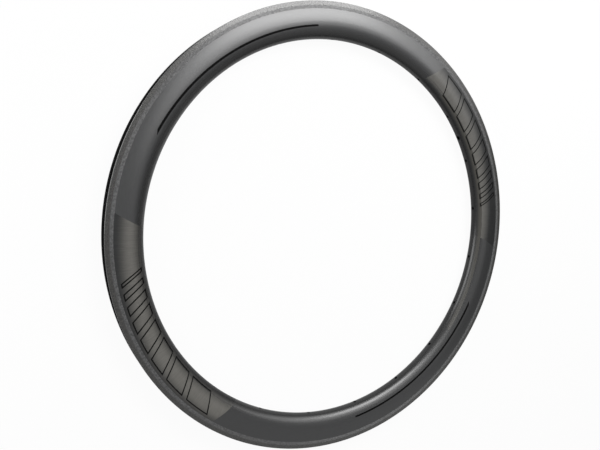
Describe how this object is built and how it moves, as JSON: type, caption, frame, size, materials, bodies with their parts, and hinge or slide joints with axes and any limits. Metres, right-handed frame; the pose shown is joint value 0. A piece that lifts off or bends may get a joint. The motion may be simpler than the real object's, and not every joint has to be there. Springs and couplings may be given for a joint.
{
  "type": "bicycle rim",
  "caption": "Deep hollow road bicycle rim with swelling sides, textured edge bands, hooked tyre channel and drilled holes for spokes and a valve.",
  "frame": {"origin": "centre of the rim, on the axle line and in the middle plane", "axes": "+Z along the axle line, up with the rim lying on its side; +X through the middle of the valve hole; +Y completes the right-handed frame"},
  "size_m": [0.6334, 0.6334, 0.0288],
  "materials": {
    "rim": "satin dark grey carbon fibre laminate with gloss black stripes"
  },
  "bodies": {
    "root": {"rim": "rim"}
  },
  "joints": []
}
